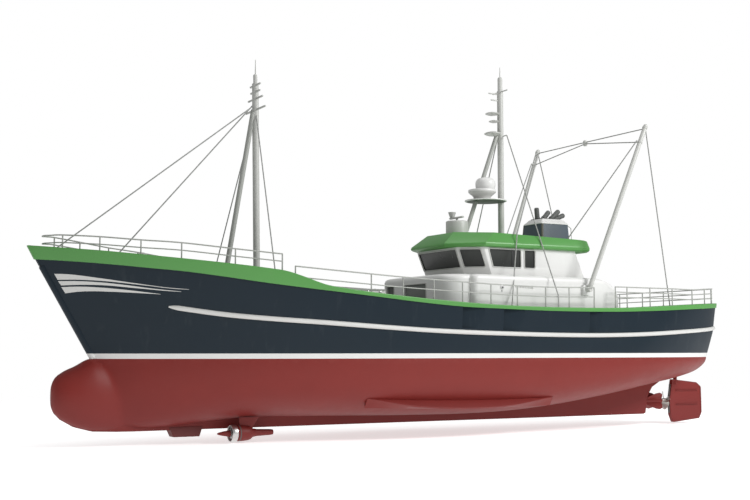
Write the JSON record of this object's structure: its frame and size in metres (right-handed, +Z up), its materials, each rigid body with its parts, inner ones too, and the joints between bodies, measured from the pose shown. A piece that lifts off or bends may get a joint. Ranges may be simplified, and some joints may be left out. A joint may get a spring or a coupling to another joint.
{
  "type": "fishing trawler",
  "caption": "Steel fishing trawler with a raked bow and bulb, deckhouse, wheelhouse, masts, lifting booms, propeller, rudder and thruster pod.",
  "frame": {"origin": "amidships on the centreline, at the lower edge of the white waterline stripe", "axes": "+X to the bow, +Y to port, +Z up"},
  "size_m": [39.5351, 9.5766, 19.54],
  "materials": {
    "navy_paint": "dark blue-grey gloss paint",
    "red_antifouling": "matt red antifouling paint",
    "green_paint": "mid green gloss paint",
    "white_paint": "white gloss paint",
    "grey_paint": "light grey paint",
    "bare_steel": "bare bright metal",
    "dark_metal": "dark grey metal",
    "dark_glass": "dark window glass",
    "deck_paint": "matt deck paint"
  },
  "bodies": {
    "hull": {"topsides": "navy_paint", "funnel_casing": "navy_paint", "hull_bottom": "red_antifouling", "thruster_pod": "red_antifouling", "stern_tube": "red_antifouling", "bulwark_band": "green_paint", "wheelhouse_roof": "green_paint", "rubbing_strake_port": "white_paint", "rubbing_strake_starboard": "white_paint", "deckhouse_walls": "white_paint", "deckhouse_roof": "white_paint", "wheelhouse_walls": "white_paint", "funnel_cap": "white_paint", "scanner_drum": "white_paint", "radome": "white_paint", "hatch_coaming": "white_paint", "main_mast": "grey_paint", "mast_strut": "grey_paint", "dish_platform": "grey_paint", "foremast": "grey_paint", "foremast_strut": "grey_paint", "bow_rail": "grey_paint", "side_rail_port": "grey_paint", "side_rail_starboard": "grey_paint", "stern_rail": "grey_paint", "forestay": "grey_paint", "inner_forestay": "grey_paint", "fore_shroud_port": "grey_paint", "fore_shroud_starboard": "grey_paint", "main_shroud_port": "grey_paint", "main_shroud_starboard": "grey_paint", "windlass": "grey_paint", "transducer_box": "dark_metal", "exhaust_pipes": "dark_metal", "pane_front": "dark_glass", "pane_corner_port": "dark_glass", "pane_corner_starboard": "dark_glass", "pane_side_port": "dark_glass", "pane_side_starboard": "dark_glass", "pane_aft_side_port": "dark_glass", "pane_aft_side_starboard": "dark_glass", "pane_aft": "dark_glass", "deck": "deck_paint"},
    "propeller": {"propeller": "bare_steel"},
    "thruster_rotor": {"thruster_rotor": "bare_steel"},
    "rudder": {"rudder": "red_antifouling"},
    "booms": {"cargo_booms": "grey_paint"},
    "scanner": {"radar_scanner": "grey_paint"},
    "front_door": {"deckhouse_front_door": "grey_paint"},
    "front_hatch": {"deckhouse_front_hatch": "grey_paint"},
    "side_door": {"deckhouse_side_door": "grey_paint"},
    "hatch_lid": {"hatch_lid": "grey_paint"}
  },
  "joints": [
    {"name": "propeller_spin", "type": "hinge", "parent": "hull", "child": "propeller", "pos_m": [-17.78, 0, -2.52], "axis": [1, 0, 0], "continuous": true},
    {"name": "thruster_spin", "type": "hinge", "parent": "hull", "child": "thruster_rotor", "pos_m": [9.6, 0.95, -3.42], "axis": [1, 0, 0], "continuous": true},
    {"name": "rudder_turn", "type": "hinge", "parent": "hull", "child": "rudder", "pos_m": [-18.62, 0, -2], "axis": [0, 0, 1], "range_deg": [-35, 35]},
    {"name": "boom_swing", "type": "hinge", "parent": "hull", "child": "booms", "pos_m": [-8.88, 0, 3.48], "axis": [0, -1, 0], "range_deg": [-15, 40]},
    {"name": "radar_spin", "type": "hinge", "parent": "hull", "child": "scanner", "pos_m": [-3.43, 0, 7.3], "axis": [0, 0, 1], "continuous": true},
    {"name": "front_door_swing", "type": "hinge", "parent": "hull", "child": "front_door", "pos_m": [-0.645, 1.43, 3.2], "axis": [0, 0, 1], "range_deg": [0, 90]},
    {"name": "front_hatch_swing", "type": "hinge", "parent": "hull", "child": "front_hatch", "pos_m": [-0.645, -1.7, 3.2], "axis": [0, 0, 1], "range_deg": [0, 90]},
    {"name": "side_door_swing", "type": "hinge", "parent": "hull", "child": "side_door", "pos_m": [-4.64, -3.655, 3.2], "axis": [0, 0, -1], "range_deg": [0, 90]},
    {"name": "hatch_lid_lift", "type": "hinge", "parent": "hull", "child": "hatch_lid", "pos_m": [1.57, 0, 3.3], "axis": [0, -1, 0], "range_deg": [0, 85]}
  ]
}
